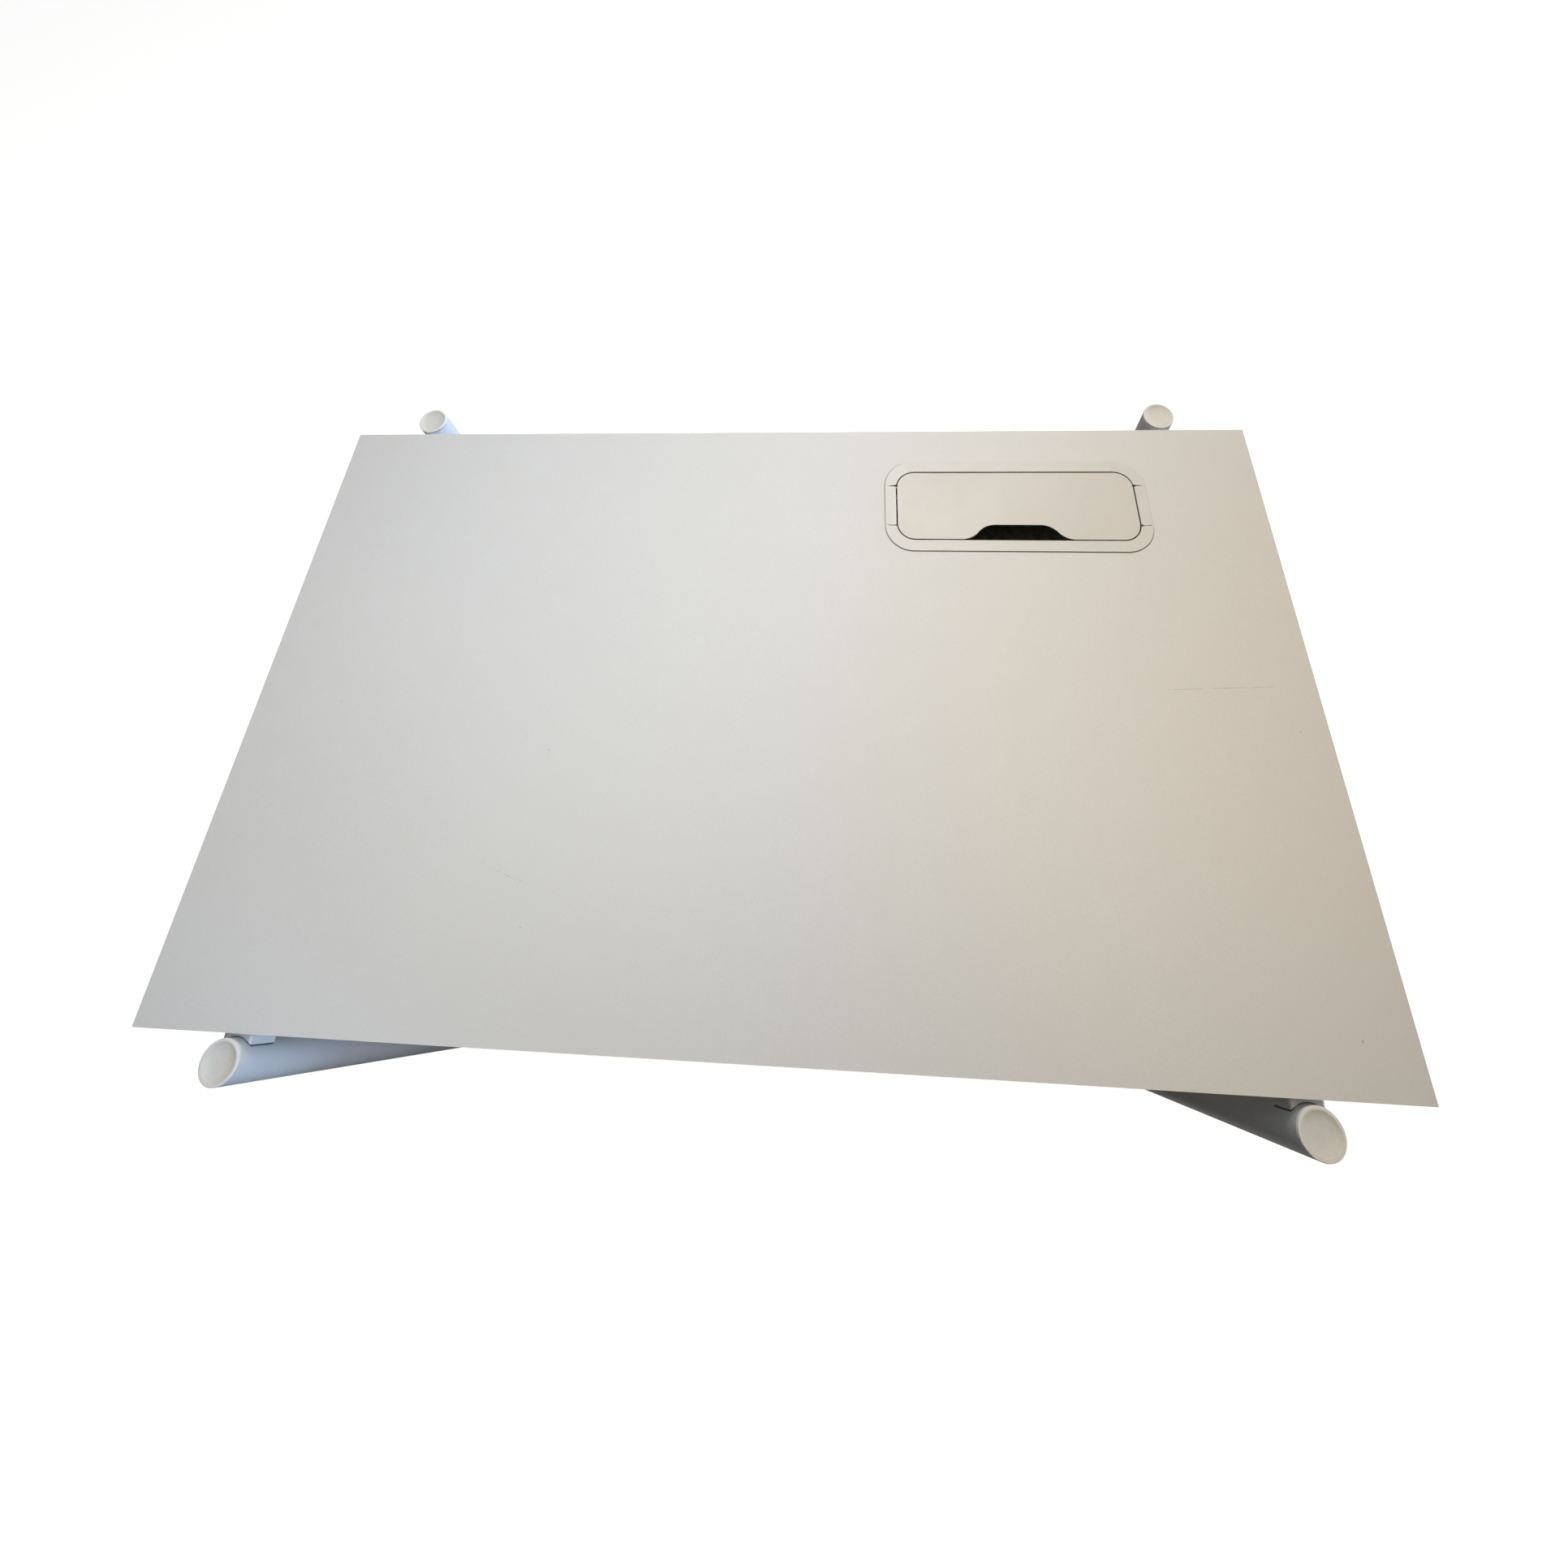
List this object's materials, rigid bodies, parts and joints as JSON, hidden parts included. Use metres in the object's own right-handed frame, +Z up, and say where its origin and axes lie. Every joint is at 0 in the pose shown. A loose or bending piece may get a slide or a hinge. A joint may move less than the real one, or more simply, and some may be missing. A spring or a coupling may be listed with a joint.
{
  "type": "office desk",
  "caption": "Flat rectangular office desk with round outboard tube legs, capped flush with the worktop, and a flip-lid cable outlet at the rear right.",
  "frame": {"origin": "on the floor, under the middle of the desk", "axes": "+Z up, +X along the worktop to the user's right, +Y from the front edge to the rear edge"},
  "size_m": [1.4, 0.899, 0.7216],
  "materials": {
    "laminate": "light grey melamine facing with a fine pearl grain",
    "edging": "light grey edge banding",
    "outlet_plastic": "satin moulded, warm white",
    "white_steel": "white powder coat, satin",
    "cap_plastic": "ivory moulded plastic",
    "foot_plastic": "black moulded polyamide",
    "plug_metal": "dark grey die casting",
    "tray_steel": "black powder coat, matt",
    "fastener_steel": "zinc plated",
    "buffer_rubber": "matt"
  },
  "bodies": {
    "desk": {"worktop_board": "laminate", "edge_band_front": "edging", "edge_band_rear": "edging", "edge_band_left": "edging", "edge_band_right": "edging", "outlet_frame": "outlet_plastic", "outlet_hinge_pins": "fastener_steel", "outlet_lid_buffers": "buffer_rubber", "outlet_clamps": "fastener_steel", "outlet_clamp_screws": "fastener_steel", "cable_tray": "tray_steel", "cable_tray_screws": "fastener_steel", "leg_tube_front_left": "white_steel", "leg_tube_front_right": "white_steel", "leg_tube_rear_left": "white_steel", "leg_tube_rear_right": "white_steel", "leg_cap_front_left": "cap_plastic", "leg_cap_front_right": "cap_plastic", "leg_cap_rear_left": "cap_plastic", "leg_cap_rear_right": "cap_plastic", "foot_insert_front_left": "foot_plastic", "foot_insert_front_right": "foot_plastic", "foot_insert_rear_left": "foot_plastic", "foot_insert_rear_right": "foot_plastic", "side_rail_left": "white_steel", "side_rail_right": "white_steel", "rail_plug_front_left": "plug_metal", "rail_plug_front_right": "plug_metal", "rail_plug_rear_left": "plug_metal", "rail_plug_rear_right": "plug_metal", "leg_nut_strips": "fastener_steel", "rail_plug_screws": "fastener_steel", "rail_lock_screws": "fastener_steel", "beam_front": "white_steel", "beam_rear": "white_steel", "beam_plate_front_left": "white_steel", "beam_plate_front_right": "white_steel", "beam_plate_rear_left": "white_steel", "beam_plate_rear_right": "white_steel", "beam_bolts_left": "fastener_steel", "beam_bolts_right": "fastener_steel", "beam_washers": "fastener_steel", "beam_nuts": "fastener_steel", "worktop_pads": "buffer_rubber", "worktop_screws_left": "fastener_steel", "worktop_screws_right": "fastener_steel", "worktop_screws_beams": "fastener_steel"},
    "lid": {"outlet_lid": "outlet_plastic"},
    "foot_front_left": {"levelling_foot_front_left": "foot_plastic"},
    "foot_front_right": {"levelling_foot_front_right": "foot_plastic"},
    "foot_rear_left": {"levelling_foot_rear_left": "foot_plastic"},
    "foot_rear_right": {"levelling_foot_rear_right": "foot_plastic"}
  },
  "joints": [
    {"name": "lid_hinge", "type": "hinge", "parent": "desk", "child": "lid", "pos_m": [0.3515, 0.3018, 0.7168], "axis": [-1, 0, 0], "range_deg": [0, 100]},
    {"name": "foot_front_left_screw", "type": "slide", "parent": "desk", "child": "foot_front_left", "axis": [0, 0, -1], "range_m": [0, 0.015]},
    {"name": "foot_front_right_screw", "type": "slide", "parent": "desk", "child": "foot_front_right", "axis": [0, 0, -1], "range_m": [0, 0.015]},
    {"name": "foot_rear_left_screw", "type": "slide", "parent": "desk", "child": "foot_rear_left", "axis": [0, 0, -1], "range_m": [0, 0.015]},
    {"name": "foot_rear_right_screw", "type": "slide", "parent": "desk", "child": "foot_rear_right", "axis": [0, 0, -1], "range_m": [0, 0.015]}
  ]
}
